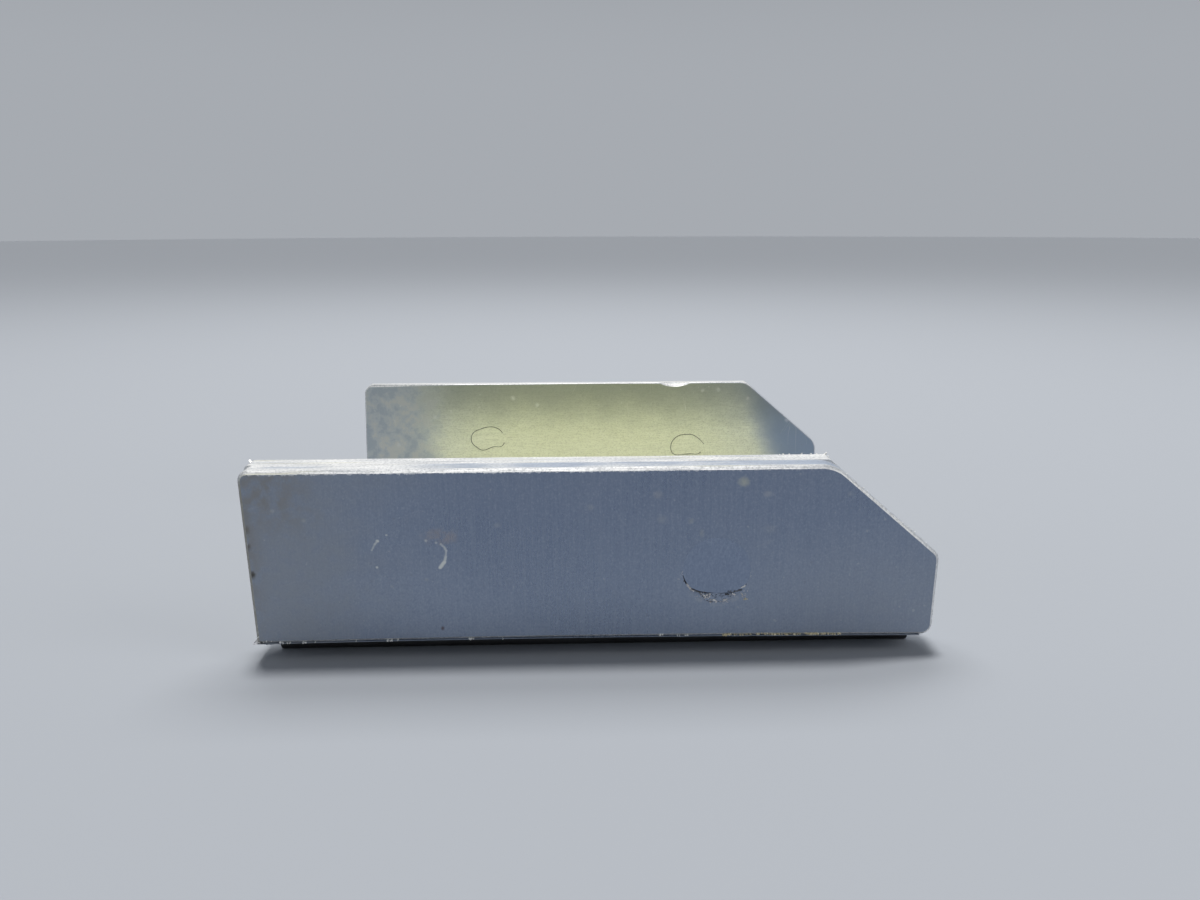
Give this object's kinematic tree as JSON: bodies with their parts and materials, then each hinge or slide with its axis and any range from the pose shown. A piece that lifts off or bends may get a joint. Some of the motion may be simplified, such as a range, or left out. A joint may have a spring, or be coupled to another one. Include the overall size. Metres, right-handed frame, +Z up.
{
  "type": "tailwheel spacer",
  "caption": "Open-topped aluminium channel spacer with upright side walls, each doubled by a flush-riveted plate and clipped at one upper corner.",
  "frame": {"origin": "middle of the underside of the web, where the spacer stands", "axes": "+Z up out of the channel, +X along it towards the clipped corners, -Y the front"},
  "size_m": [0.0904, 0.0714, 0.0258],
  "materials": {
    "channel_sheet": "brushed, faint straw tint",
    "plate_sheet": "satin, stained",
    "rivet": "satin, ground flush"
  },
  "bodies": {
    "root": {"channel": "channel_sheet", "side_plate_front": "plate_sheet", "side_plate_rear": "plate_sheet", "rivet_front_left": "rivet", "rivet_front_right": "rivet", "rivet_rear_left": "rivet", "rivet_rear_right": "rivet"}
  },
  "joints": []
}
